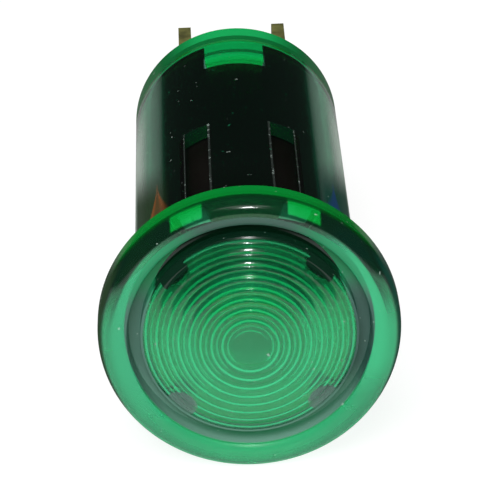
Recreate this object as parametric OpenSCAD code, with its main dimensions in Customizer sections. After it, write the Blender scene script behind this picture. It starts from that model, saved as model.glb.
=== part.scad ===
// Snap-in panel pilot light: a one-piece transparent lens, flange and barrel that clips into
// a round panel hole, round a black lamp housing with two flat push-on terminals.
//
// Every piece is drawn on the light's own axis: X to the right, Y up, Z out of the panel
// towards the viewer, with Z = 0 on the flange's seat. in_panel() turns that into the part's
// frame, where the light looks along -Y and +Z is up. "Depth" is the distance behind the seat.

/* [Panel hole] */
// Diameter of the panel hole
hole_d = 12.7; // [12.2:0.1:13.4]
// Gap between the barrel and the hole, all round
hole_gap = 0.1; // [0.05:0.05:0.2]
// Thickest panel that the snap fingers close on
panel_max = 3.3; // [2.4:0.1:3.8]

/* [Flange] */
// Outer diameter of the flange
flange_d = 16.5; // [15.8:0.1:18.5]
// Height of the straight edge of the flange
flange_edge_h = 0.85; // [0.6:0.05:1.1]
// Radius of the rounded rim
rim_round_r = 1.0; // [0.8:0.05:1.1]

/* [Lens] */
// Height of the crown over the seat
crown_h = 3.15; // [2.8:0.05:3.6]
// Radius of the crown's sphere
crown_r = 11.7; // [10:0.1:14]
// Thickness of the crown
crown_wall = 1.4; // [1:0.05:1.6]
// Radius of the groove's inner wall, between the crown and the rim
groove_r = 5.9; // [5.84:0.02:6]
// Width of the groove
groove_w = 0.7; // [0.5:0.05:0.8]
// Height of the groove's floor over the seat
groove_h = 0.45; // [0.4:0.05:0.8]
// Draft of the groove's walls over their height
groove_draft = 0.05; // [0.02:0.01:0.1]
// Radius of the plain disc in the middle of the lens
disc_r = 1.22; // [0.8:0.02:1.6]
// Distance between two rings
ring_pitch = 0.588; // [0.5:0.002:0.7]
// Width of a ring's rib
ring_w = 0.3; // [0.2:0.02:0.4]
// Height of a ring's crest
ring_h = 0.05; // [0.03:0.01:0.08]
// Number of rings
ring_count = 8; // [4:1:8]

/* [Barrel] */
// Length of the barrel behind the seat
barrel_len = 28; // [27:0.25:34]
// Thickness of the barrel's wall
barrel_wall = 0.75; // [0.65:0.05:0.9]
// Chamfer on the barrel's rear edge
barrel_chamfer = 0.25; // [0.1:0.05:0.4]

/* [Snap fingers] */
// Width of a finger
finger_w = 3.6; // [3:0.1:4]
// Width of the slot on each side of a finger
slot_w = 1.34; // [1:0.02:1.5]
// Depth of the slots' front end
slot_front = 0.35; // [0.2:0.05:0.6]
// Depth of the slots' rear end
slot_depth = 13.5; // [11:0.5:16]
// Gap in front of a finger's free end
tip_gap = 0.7; // [0.4:0.05:1]
// Height of a finger's barb
barb_h = 0.4; // [0.2:0.05:0.5]
// Length of the barb's flat top
barb_flat = 0.5; // [0.3:0.05:0.8]
// Length of the barb with its ramp
barb_len = 4.7; // [3:0.1:6]

/* [Housing] */
// Gap between the barrel's bore and the housing
housing_gap = 0.15; // [0.1:0.01:0.2]
// Thickness of the housing's wall
housing_wall = 0.7; // [0.6:0.05:0.8]
// Depth of the housing's front rim
housing_front = 2.8; // [2.4:0.1:3.2]
// Distance from the housing's rear end to the barrel's rear edge
rear_recess = 1.5; // [1:0.1:2]
// Radius of a front post
post_r = 0.8; // [0.6:0.05:0.9]
// Thickness of the crown over a front post
post_cover = 0.6; // [0.5:0.05:0.8]
// Thickness of the ledge that carries the lamp collar
ledge_t = 0.6; // [0.4:0.1:1]
// Width of the ledge
ledge_w = 0.5; // [0.3:0.05:0.6]

/* [Latch] */
// Width of a latch window
window_w = 3.4; // [3:0.1:3.8]
// Length of a latch window
window_len = 3.3; // [2.8:0.1:3.6]
// Strip of housing behind a window
window_web = 0.25; // [0.2:0.05:0.6]
// Height of a latch ridge over the bore
ridge_h = 0.5; // [0.4:0.02:0.6]
// Length of a latch ridge
ridge_len = 1.5; // [1:0.1:2]
// Room between a latch ridge and its window
latch_gap = 0.1; // [0.05:0.05:0.15]

/* [Reflector] */
// Height of the reflector's front edge over the seat
reflector_top = 0.25; // [0:0.05:0.3]
// Thickness of the reflector's front edge
reflector_edge = 0.25; // [0.15:0.05:0.4]
// Thickness of the reflector's floor
reflector_floor = 0.5; // [0.4:0.1:1]
// Gap between the reflector and the lamp's glass
lamp_gap = 0.15; // [0.1:0.01:0.2]

/* [Lamp] */
// Diameter of the lamp's glass
lamp_d = 6; // [5:0.1:6.4]
// Thickness of the glass
glass_t = 0.5; // [0.3:0.05:0.7]
// Depth of the lamp's round tip
lamp_front = 1; // [0.8:0.1:2]
// Length of the lamp from its round tip to the end of its seal
lamp_len = 10.6; // [10.4:0.1:11.4]
// Width of the pressed seal
seal_w = 4.4; // [3.6:0.2:5]
// Thickness of the pressed seal
seal_t = 1.8; // [1.4:0.1:2.2]
// Length of the pressed seal
seal_len = 2.4; // [2.2:0.1:2.8]
// Length of the glass's shoulder in front of the seal
shoulder_len = 0.6; // [0.5:0.05:0.8]
// Length of the collar that holds the seal
collar_len = 1.6; // [1.2:0.1:1.8]
// Distance from the collar to the seal's end
collar_back = 0.4; // [0.2:0.1:0.6]
// Diameter of an electrode
electrode_d = 0.8; // [0.6:0.1:1]
// Length of an electrode
electrode_len = 5; // [4:0.25:6]
// Distance between the two electrodes' centres
electrode_pitch = 1.8; // [1.6:0.1:2.2]

/* [Wiring] */
// Diameter of the lead wires
wire_d = 0.5; // [0.4:0.05:0.6]
// Thickness of the insulating sleeves
sleeve_t = 0.22; // [0.15:0.01:0.3]
// Diameter of the series resistor
resistor_d = 1.9; // [1.6:0.1:2.2]
// Length of the series resistor
resistor_len = 3; // [2.8:0.1:3.6]
// Length of the splice ferrule
splice_len = 1.2; // [1:0.1:1.4]
// Straight length of a lead beside the splice, the resistor or the lamp
lead_land = 0.6; // [0.4:0.1:0.8]
// Length over which a lead crosses from the lamp to a terminal
lead_cross = 1.3; // [1.1:0.1:1.6]
// Length of a lead's end along a terminal's tail
lead_end = 1.1; // [0.9:0.1:1.3]
// Distance from a lead's end to the base
lead_stop = 0.6; // [0.6:0.05:0.8]
// Gap between a lead and a terminal's tail
joint_gap = 0.06; // [0.04:0.01:0.1]

/* [Terminals] */
// Width of a terminal blade
blade_w = 6.35; // [4.75:0.05:6.35]
// Thickness of a terminal blade
blade_t = 0.8; // [0.5:0.05:0.8]
// Length of a blade behind the barrel's rear edge
blade_reach = 8.6; // [7.5:0.1:9]
// Distance between the two blades' middle planes
blade_pitch = 6; // [5.6:0.1:6.2]
// Diameter of the hole in a blade
blade_hole_d = 1.8; // [1.4:0.1:2.2]
// Distance from the hole's centre to the blade's tip
blade_hole_back = 3.6; // [3:0.1:4.5]
// Corner chamfer at the blade's tip
blade_chamfer = 0.6; // [0.4:0.1:1.2]
// Width of the shank that passes through the base
shank_w = 3.4; // [2.6:0.1:3.6]
// Width of the tail inside the housing
tail_w = 1.6; // [1.2:0.1:2]
// Length of the tail in front of the base
tail_len = 2.2; // [2:0.1:2.6]
// Distance from the wide part of a blade to the barrel's rear edge
blade_back = 0.1; // [0.05:0.05:0.4]

/* [Base] */
// Thickness of the terminal base
base_t = 3.5; // [3:0.1:4]
// Play of the base in the housing, all round
base_gap = 0.05; // [0.02:0.01:0.08]
// Play of a terminal's shank in the base
shank_gap = 0.05; // [0.02:0.01:0.08]
// Height over the axis of the sight notches behind the windows
notch_floor = 3; // [2.2:0.1:3.4]
// Thickness of the base's front step, which the terminals' shoulders meet
base_step = 0.8; // [0.6:0.1:1.2]

/* [Hidden] */
$fn = 64;
cut = 0.01;
long = 60;
play = 0.05;
barrel_r = hole_d / 2 - hole_gap;
flange_r = flange_d / 2;
bore_r = barrel_r - barrel_wall;
crown_z = crown_h - crown_r;
rim_r = flange_r - rim_round_r;
ring_half = ring_pitch / 2;
ring_round = (ring_w * ring_w / 4 + ring_h * ring_h) / (2 * ring_h);
housing_r = bore_r - housing_gap;
cell_r = housing_r - housing_wall;
housing_rear = barrel_len - rear_recess;
window_rear = housing_rear - window_web;
window_front = window_rear - window_len;
base_front = housing_rear - base_t;
reflector_r = bore_r - play;
recess_top = crown_at(bore_r) - post_cover;
post_top = recess_top - play;
lamp_r = lamp_d / 2;
lamp_rear = lamp_front + lamp_len;
seal_front = lamp_rear - seal_len;
shoulder_front = seal_front - shoulder_len;
collar_rear = lamp_rear - collar_back;
collar_front = collar_rear - collar_len;
pin_x = electrode_pitch / 2;
wire_r = wire_d / 2;
blade_x = blade_pitch / 2;
blade_front = barrel_len - blade_back;
shank_front = base_front + base_step;
tail_front = base_front - tail_len;
joint_x = blade_x - blade_t / 2 - joint_gap - wire_r;
wire_end = base_front - lead_stop;
cross_rear = wire_end - lead_end;
cross_front = cross_rear - lead_cross;
resistor_rear = cross_front - lead_land;
resistor_front = resistor_rear - resistor_len;
splice_rear = resistor_front - lead_land;
splice_front = splice_rear - splice_len;
splice_middle = (splice_front + splice_rear) / 2;
lamp_cross = lamp_rear + lead_land;

// ---- Helpers ----

// Turns a piece drawn on the light's axis into the part's frame.
module in_panel() {
    rotate([90, 0, 0])
        children();
}

// A round bar on the axis between two depths.
module bar(r, from, to) {
    translate([0, 0, -to])
        cylinder(r = r, h = to - from);
}

// A tube on the axis between two depths.
module tube(r_out, r_in, from, to) {
    difference() {
        bar(r_out, from, to);
        bar(r_in, from - cut, to + cut);
    }
}

// A block centred on the axis in X and Y, between two depths.
module block(width, height, from, to) {
    translate([-width / 2, -height / 2, -to])
        cube([width, height, to - from]);
}

// Half a section of the axis: everything right of it, between two heights.
module half_strip(r, low, high) {
    translate([0, low])
        square([r, high - low]);
}

// A straight wire between two points of the XZ plane, given as [x, depth].
module wire_run(a, b) {
    run = b[1] - a[1];
    side = b[0] - a[0];
    translate([a[0], 0, -a[1]])
        rotate([0, 180 - atan2(side, run), 0])
            cylinder(r = wire_r, h = norm([side, run]), $fn = 24);
}

// A wire along points of the XZ plane, with a round elbow at each bend.
module wire(points) {
    for (i = [1 : len(points) - 1])
        wire_run(points[i - 1], points[i]);
    for (i = [1 : 1 : len(points) - 2])
        translate([points[i][0], 0, -points[i][1]])
            sphere(r = wire_r * 1.2, $fn = 32);
}

// The top piece and its copy on the underside.
module top_and_bottom() {
    for (turn = [0, 180])
        rotate([0, 0, turn])
            children();
}

// ---- Lens body ----

// Height of the crown's surface at a radius.
function crown_at(r) = crown_z + sqrt(crown_r * crown_r - r * r);

// One ring of the lens, as a small round crest that stands on the crown.
module ring_section(r) {
    tilt = asin(r / crown_r);
    sink = ring_round - ring_h;
    translate([r - sink * sin(tilt), crown_at(r) - sink * cos(tilt)])
        circle(r = ring_round, $fn = 32);
}

// Section of the flange, rim and crown, with the groove between them.
module front_section() {
    difference() {
        solid_section();
        translate([groove_r, groove_h])
            polygon([
                [0, 0],
                [groove_w, 0],
                [groove_w + groove_draft, crown_h],
                [-groove_draft, crown_h]
            ]);
    }
}

// Section of the flange, rim and crown before the groove is cut.
module solid_section() {
    half_strip(flange_r, 0, flange_edge_h);
    intersection() {
        translate([rim_r, flange_edge_h])
            circle(r = rim_round_r);
        half_strip(flange_r, 0, crown_h);
    }
    intersection() {
        translate([0, crown_z])
            circle(r = crown_r, $fn = 128);
        half_strip(rim_r - 0.4, 0, crown_h + 1);
    }
    intersection() {
        half_strip(rim_r - 0.4, 0, crown_h + 1);
        for (i = [0 : ring_count - 1])
            ring_section(disc_r + ring_half + i * ring_pitch);
    }
}

// Section of the space inside the crown and the barrel.
module cavity_section() {
    intersection() {
        half_strip(bore_r, -long, crown_h);
        union() {
            translate([0, crown_z])
                circle(r = crown_r - crown_wall, $fn = 128);
            half_strip(bore_r, -long, -1);
        }
    }
}

// The barb near a finger's free end: a ring with a ramp behind it.
module barb_ring() {
    rotate_extrude()
        polygon([
            [barrel_r - 0.3, -panel_max],
            [barrel_r + barb_h, -panel_max],
            [barrel_r + barb_h, -panel_max - barb_flat],
            [barrel_r - 0.3, -panel_max - barb_len - 2]
        ]);
}

// The latch ridge inside the bore: a ring with a ramp behind it.
module ridge_ring() {
    front = window_front + latch_gap;
    rotate_extrude()
        polygon([
            [bore_r + 0.3, -front],
            [bore_r - ridge_h, -front],
            [bore_r - ridge_h, -front - 0.2],
            [bore_r + 0.3, -front - ridge_len]
        ]);
}

module lens_body() {
    color([0.05, 0.55, 0.25, 0.6])
        in_panel() {
            difference() {
                union() {
                    rotate_extrude()
                        front_section();
                    bar(barrel_r, -cut, barrel_len - barrel_chamfer);
                    translate([0, 0, -barrel_len])
                        cylinder(r1 = barrel_r - barrel_chamfer, r2 = barrel_r, h = barrel_chamfer);
                    top_and_bottom()
                        intersection() {
                            barb_ring();
                            translate([-finger_w / 2, 0, -slot_depth])
                                cube([finger_w, long, slot_depth]);
                        }
                }
                rotate_extrude()
                    cavity_section();
                intersection() {
                    posts(play);
                    bar(bore_r, -crown_h, 1);
                }
                top_and_bottom()
                    slots();
            }
            top_and_bottom()
                intersection() {
                    ridge_ring();
                    translate([-window_w / 2 + latch_gap, 0, -barrel_len])
                        cube([window_w - 2 * latch_gap, long, barrel_len]);
                }
        }
}

// The two slots beside a finger and the gap in front of its free end.
module slots() {
    for (side = [-1, 1])
        translate([side * (finger_w + slot_w) / 2 - slot_w / 2, 0, -slot_depth])
            cube([slot_w, long, slot_depth - slot_front]);
    translate([-finger_w / 2 - cut, 0, -panel_max])
        cube([finger_w + 2 * cut, long, tip_gap]);
}

// ---- Reflector ----

module reflector() {
    color([0.93, 0.93, 0.9])
        in_panel()
            difference() {
                rotate_extrude()
                    intersection() {
                        polygon([
                            [lamp_r + lamp_gap, -housing_front],
                            [reflector_r, -housing_front],
                            [reflector_r, reflector_top],
                            [reflector_r - reflector_edge, reflector_top],
                            [lamp_r + lamp_gap, reflector_floor - housing_front]
                        ]);
                        translate([0, crown_z])
                            circle(r = crown_r - crown_wall - play, $fn = 128);
                    }
                posts(play);
            }
}

// ---- Lamp housing ----

// The four front posts, or with some room the notches and recesses that they stand in.
module posts(room) {
    low = -housing_front - 1;
    for (turn = [45 : 90 : 315])
        rotate([0, 0, turn])
            translate([bore_r, 0, low])
                cylinder(r = post_r + room, h = post_top + room - low);
}

module lamp_housing() {
    color([0.07, 0.08, 0.07])
        in_panel() {
            difference() {
                bar(housing_r, housing_front, housing_rear);
                bar(cell_r, housing_front - cut, collar_rear);
                bar(cell_r - ledge_w, collar_rear - cut, collar_rear + ledge_t + cut);
                bar(cell_r, collar_rear + ledge_t, housing_rear + cut);
                top_and_bottom()
                    translate([-window_w / 2, 0, -window_rear])
                        cube([window_w, long, window_len]);
            }
            intersection() {
                posts(0);
                tube(reflector_r, cell_r, -crown_h, housing_front + 0.5);
            }
        }
}

// ---- Terminal base and terminals ----

module terminal_base() {
    color([0.1, 0.1, 0.1])
        in_panel()
            difference() {
                bar(cell_r - base_gap, base_front, housing_rear);
                for (side = [-1, 1])
                    translate([side * blade_x, 0, 0]) {
                        block(blade_t + 2 * shank_gap, tail_w + 2 * shank_gap, 0, long);
                        block(blade_t + 2 * shank_gap, shank_w + 2 * shank_gap, shank_front, long);
                    }
                top_and_bottom()
                    translate([-window_w / 2, notch_floor, -long])
                        cube([window_w, long, long]);
            }
}

// Flat outline of a terminal: depth runs to the right and the width runs up.
module terminal_outline() {
    tip = barrel_len + blade_reach;
    difference() {
        union() {
            translate([tail_front, -tail_w / 2])
                square([shank_front - tail_front + 1, tail_w]);
            translate([shank_front, -shank_w / 2])
                square([blade_front - shank_front + 1, shank_w]);
            polygon([
                [blade_front, -blade_w / 2],
                [tip - blade_chamfer, -blade_w / 2],
                [tip, -blade_w / 2 + blade_chamfer],
                [tip, blade_w / 2 - blade_chamfer],
                [tip - blade_chamfer, blade_w / 2],
                [blade_front, blade_w / 2]
            ]);
        }
        translate([tip - blade_hole_back, 0])
            circle(d = blade_hole_d);
    }
}

module terminal(side) {
    color([0.62, 0.55, 0.3])
        in_panel()
            translate([side * blade_x + blade_t / 2, 0, 0])
                rotate([0, 90, 0])
                    mirror([0, 0, 1])
                        linear_extrude(height = blade_t)
                            terminal_outline();
}

module terminal_left() {
    terminal(-1);
}

module terminal_right() {
    terminal(1);
}

// ---- Lamp ----

module lamp_collar() {
    color([0.85, 0.85, 0.8])
        in_panel()
            difference() {
                bar(cell_r - play, collar_front, collar_rear);
                block(seal_w + 2 * play, seal_t + 2 * play, collar_front - 1, collar_rear + 1);
                bar(lamp_r * 0.72, collar_front - cut, collar_front + 0.5);
            }
}

// Section of the lamp's outside, or of its inside with the glass taken off.
module glass_section(skin) {
    r = lamp_r - skin;
    middle = lamp_front + lamp_r;
    intersection() {
        translate([0, -middle])
            circle(r = r);
        half_strip(r, -middle, 0);
    }
    polygon([
        [0, -middle],
        [r, -middle],
        [r, -shoulder_front],
        [seal_t / 2 - skin * 0.4, -seal_front - 0.3 + skin],
        [0, -seal_front - 0.3 + skin]
    ]);
}

module lamp_envelope() {
    color([0.85, 0.9, 0.9, 0.5])
        in_panel()
            difference() {
                union() {
                    rotate_extrude()
                        glass_section(0);
                    block(seal_w, seal_t, seal_front, lamp_rear);
                }
                rotate_extrude()
                    glass_section(glass_t);
                for (side = [-1, 1])
                    translate([side * pin_x, 0, 0])
                        bar(wire_r, shoulder_front, long);
            }
}

module electrode(side) {
    weld = shoulder_front;
    color([0.7, 0.7, 0.68])
        in_panel()
            translate([side * pin_x, 0, 0])
                bar(electrode_d / 2, weld - electrode_len, weld);
}

module electrode_left() {
    electrode(-1);
}

module electrode_right() {
    electrode(1);
}

// ---- Wiring ----

module lamp_lead_left() {
    color([0.72, 0.45, 0.3])
        in_panel()
            wire([
                [-pin_x, shoulder_front],
                [-pin_x, lamp_cross],
                [-joint_x, lamp_cross + lead_cross],
                [-joint_x, wire_end]
            ]);
}

module lamp_lead_right() {
    color([0.72, 0.45, 0.3])
        in_panel()
            wire([
                [pin_x, shoulder_front],
                [pin_x, splice_middle]
            ]);
}

module lead_sleeve() {
    color([0.85, 0.85, 0.75])
        in_panel()
            translate([-joint_x, 0, 0])
                tube(
                    wire_r + sleeve_t, wire_r,
                    lamp_cross + lead_cross + lead_land, tail_front - lead_land / 2
                );
}

module splice_ferrule() {
    color([0.75, 0.75, 0.72])
        in_panel()
            translate([pin_x, 0, 0])
                tube(wire_r + 0.2, wire_r, splice_front, splice_rear);
}

module resistor_body() {
    color([0.75, 0.62, 0.42])
        in_panel()
            translate([pin_x, 0, 0]) {
                bar(resistor_d / 2 * 0.86, resistor_front + 1, resistor_rear - 1);
                bar(resistor_d / 2, resistor_front + 0.2, resistor_front + 1.3);
                bar(resistor_d / 2, resistor_rear - 1.3, resistor_rear - 0.2);
                bar(resistor_d / 2 * 0.8, resistor_front, resistor_rear);
            }
}

module resistor_lead_front() {
    color([0.78, 0.78, 0.76])
        in_panel()
            wire([
                [pin_x, splice_middle],
                [pin_x, resistor_front]
            ]);
}

module resistor_lead_rear() {
    color([0.78, 0.78, 0.76])
        in_panel()
            wire([
                [pin_x, resistor_rear],
                [pin_x, cross_front],
                [joint_x, cross_rear],
                [joint_x, wire_end]
            ]);
}

module resistor_sleeve() {
    color([0.15, 0.15, 0.16])
        in_panel()
            translate([pin_x, 0, 0])
                tube(resistor_d / 2 + sleeve_t, resistor_d / 2, resistor_front, resistor_rear);
}

// A bead of solder round the end of a lead, against the terminal's tail.
module solder(side) {
    color([0.8, 0.8, 0.78])
        in_panel()
            difference() {
                translate([side * joint_x, 0, -wire_end])
                    sphere(r = wire_r * 2.2, $fn = 32);
                translate([side * (joint_x + wire_r + joint_gap + 1), 0, 0])
                    block(2, 4, 0, long);
                translate([side * joint_x, 0, 0])
                    bar(wire_r, 0, wire_end);
            }
}

module solder_left() {
    solder(-1);
}

module solder_right() {
    solder(1);
}

lens_body();
reflector();
lamp_housing();
terminal_base();
terminal_left();
terminal_right();
lamp_collar();
lamp_envelope();
electrode_left();
electrode_right();
lamp_lead_left();
lamp_lead_right();
lead_sleeve();
splice_ferrule();
resistor_body();
resistor_lead_front();
resistor_lead_rear();
resistor_sleeve();
solder_left();
solder_right();
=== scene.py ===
"""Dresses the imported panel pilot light: finishes, the ringed lens moulding, a floor, lamps and a camera."""

import logging
import math
from dataclasses import dataclass
from enum import Enum
from typing import Any, Iterable, Sequence

import bmesh
import bpy
from mathutils import Matrix, Vector


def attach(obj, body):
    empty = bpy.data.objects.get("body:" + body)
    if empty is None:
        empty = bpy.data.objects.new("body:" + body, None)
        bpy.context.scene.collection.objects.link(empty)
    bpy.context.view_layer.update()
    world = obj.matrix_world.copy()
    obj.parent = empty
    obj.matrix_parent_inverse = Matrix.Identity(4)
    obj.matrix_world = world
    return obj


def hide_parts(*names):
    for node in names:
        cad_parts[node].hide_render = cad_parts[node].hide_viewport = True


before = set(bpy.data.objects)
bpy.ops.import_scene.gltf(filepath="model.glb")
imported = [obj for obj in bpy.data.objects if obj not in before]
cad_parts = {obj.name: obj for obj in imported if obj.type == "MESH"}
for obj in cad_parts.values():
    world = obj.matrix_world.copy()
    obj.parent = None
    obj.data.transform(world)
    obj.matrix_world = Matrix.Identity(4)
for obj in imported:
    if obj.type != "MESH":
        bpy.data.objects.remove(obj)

MM = 0.001
ROOT = "root"
LOG = logging.getLogger("pilot_light")

Rgb = tuple[float, float, float]
Triple = tuple[float, float, float]
Point = tuple[float, float]
Span = tuple[float, float]  # where a ramp starts and where it ends
Band = tuple[float, float, float]  # low end, high end, and how far it fades beyond them

MIDDLE: Span = (-1.0, 1.0)  # a fade across the part's middle


# ---------------------------------------------------------------- shader maths


class Wire:
    """One output of a node tree, with Python's operators as Math nodes."""

    def __init__(self, tree: "Shader", socket: bpy.types.NodeSocket) -> None:
        """Keeps the tree and the socket."""
        self.tree = tree
        self.socket = socket

    def _math(self, operation: str, first: Any, second: Any = None) -> "Wire":
        """Adds one Math node and returns its result."""
        values = [first] if second is None else [first, second]
        return self.tree.add("ShaderNodeMath", {"operation": operation}, dict(enumerate(values)))

    def __add__(self, other: Any) -> "Wire":
        """self + other."""
        return self._math("ADD", self, other)

    def __radd__(self, other: Any) -> "Wire":
        """other + self."""
        return self._math("ADD", other, self)

    def __sub__(self, other: Any) -> "Wire":
        """self - other."""
        return self._math("SUBTRACT", self, other)

    def __rsub__(self, other: Any) -> "Wire":
        """other - self."""
        return self._math("SUBTRACT", other, self)

    def __mul__(self, other: Any) -> "Wire":
        """self * other."""
        return self._math("MULTIPLY", self, other)

    def __rmul__(self, other: Any) -> "Wire":
        """other * self."""
        return self._math("MULTIPLY", other, self)

    def __truediv__(self, other: Any) -> "Wire":
        """self / other."""
        return self._math("DIVIDE", self, other)

    def __rtruediv__(self, other: Any) -> "Wire":
        """other / self."""
        return self._math("DIVIDE", other, self)

    def __pow__(self, other: Any) -> "Wire":
        """self to the power of other."""
        return self._math("POWER", self, other)

    def __rpow__(self, other: Any) -> "Wire":
        """other to the power of self."""
        return self._math("POWER", other, self)

    def __abs__(self) -> "Wire":
        """The value without its sign."""
        return self._math("ABSOLUTE", self)

    def fraction(self) -> "Wire":
        """The part after the decimal point."""
        return self._math("FRACT", self)

    def clamped(self) -> "Wire":
        """The value held between 0 and 1."""
        return self.tree.add("ShaderNodeClamp", {}, {0: self})

    def rise(self, low: float, high: float) -> "Wire":
        """A smooth 0 to 1 as the value goes from low to high."""
        settings = {"interpolation_type": "SMOOTHSTEP"}
        return self.tree.add("ShaderNodeMapRange", settings, {0: self, 1: low, 2: high, 3: 0.0, 4: 1.0})

    def fall(self, low: float, high: float) -> "Wire":
        """A smooth 1 to 0 as the value goes from low to high."""
        return 1.0 - self.rise(low, high)

    def within(self, low: float, high: float, soft: float) -> "Wire":
        """1 from low to high, fading to 0 over a soft stretch beyond both."""
        return self.rise(low - soft, low) * self.fall(high, high + soft)


class Shader:
    """A material's or the world's node tree."""

    def __init__(self, owner: Any) -> None:
        """Clears the owner's tree and keeps it.

        Args:
            owner: The material or world whose tree this is.
        """
        owner.use_nodes = True
        self.tree = owner.node_tree
        self.tree.nodes.clear()

    def raw(self, kind: str, settings: dict[str, Any], inputs: dict[Any, Any]) -> bpy.types.Node:
        """Adds a node, sets it and fills its sockets.

        Args:
            kind: The node's type.
            settings: Its own settings.
            inputs: Socket name or number to a value or a Wire.

        Returns:
            The node.
        """
        node = self.tree.nodes.new(kind)
        for key, value in settings.items():
            setattr(node, key, value)
        for key, value in inputs.items():
            if isinstance(value, Wire):
                self.tree.links.new(value.socket, node.inputs[key])
            else:
                node.inputs[key].default_value = value
        return node

    def add(
        self, kind: str, settings: dict[str, Any], inputs: dict[Any, Any], output: Any = 0
    ) -> Wire:
        """Adds a node as raw does and returns the output with the name or number given."""
        return Wire(self, self.raw(kind, settings, inputs).outputs[output])

    def place(self) -> Wire:
        """The surface point in the object's own space, in metres."""
        return self.add("ShaderNodeTexCoord", {}, {}, "Object")

    def noise(
        self, scale: float, detail: float = 3.0, rough: float = 0.55, place: Wire | None = None
    ) -> Wire:
        """A noise texture's value, 0 to 1. The scale is in cells per metre, the detail in octaves."""
        inputs = {"Vector": place or self.place(), "Scale": scale, "Detail": detail, "Roughness": rough}
        return self.add("ShaderNodeTexNoise", {}, inputs, "Fac")

    def mix(self, factor: Wire, first: Wire | Rgb, second: Wire | Rgb) -> Wire:
        """Mixes two colours: a factor of 0 gives the first and 1 the second."""
        inputs = {0: factor, 6: opaque(first), 7: opaque(second)}
        return self.add("ShaderNodeMix", {"data_type": "RGBA"}, inputs, 2)

    def bump(self, height: Wire, strength: float, distance: float) -> Wire:
        """A bumped normal. The distance is what a height of 1 stands for, in metres."""
        inputs = {"Height": height, "Strength": strength, "Distance": distance}
        return self.add("ShaderNodeBump", {}, inputs)

    def principled(self, inputs: dict[str, Any]) -> Wire:
        """A Principled shader with the sockets given."""
        return self.add("ShaderNodeBsdfPrincipled", {}, inputs)

    def layered(self, factor: Wire, under: Wire, over: Wire) -> Wire:
        """One shader laid over another: 0 shows the one under it, 1 the one on top."""
        return self.add("ShaderNodeMixShader", {}, {0: factor, 1: under, 2: over})

    def surface(self, shader: Wire, volume: Wire | None = None) -> None:
        """Joins the shader, and a volume if there is one, to the output."""
        inputs: dict[Any, Any] = {"Surface": shader}
        if volume:
            inputs["Volume"] = volume
        self.raw("ShaderNodeOutputMaterial", {}, inputs)


def opaque(colour: Wire | Rgb) -> Wire | tuple[float, float, float, float]:
    """A colour with its alpha, or the wire itself."""
    return colour if isinstance(colour, Wire) else (*colour, 1.0)


# ---------------------------------------------------------------- sizes of the moulding


@dataclass(frozen=True)
class LensSizes:
    """Sizes of the green moulding in millimetres. Depths run from the flange's seat to the rear."""

    flange_r: float = 8.25
    edge_h: float = 0.85
    round_r: float = 1.0
    groove_r: float = 5.9
    groove_w: float = 0.7
    groove_h: float = 0.45
    groove_draft: float = 0.05
    crown_h: float = 3.15
    crown_r: float = 11.7
    crown_wall: float = 1.4
    disc_r: float = 1.22
    ring_pitch: float = 0.588
    ring_w: float = 0.3
    ring_h: float = 0.035
    ring_count: int = 8
    barrel_r: float = 6.25
    bore_r: float = 5.5
    barrel_len: float = 28.0
    chamfer: float = 0.25
    finger_w: float = 3.6
    slot_w: float = 1.34
    slot_front: float = 0.35
    slot_rear: float = 13.5
    tip: float = 3.3
    tip_gap: float = 0.7
    barb_h: float = 0.4
    barb_flat: float = 0.5
    barb_len: float = 4.7
    window_front: float = 22.95
    window_w: float = 3.4
    ridge_h: float = 0.5
    ridge_len: float = 1.5
    latch_gap: float = 0.1
    recess_r: float = 0.85
    recess_top: float = 1.177

    def ridge_front(self) -> float:
        """Depth of the latch ridges' front."""
        return self.window_front + self.latch_gap


# ---------------------------------------------------------------- the clear plastic's coats: painted light, shade and reflections, dust and streaks


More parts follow.
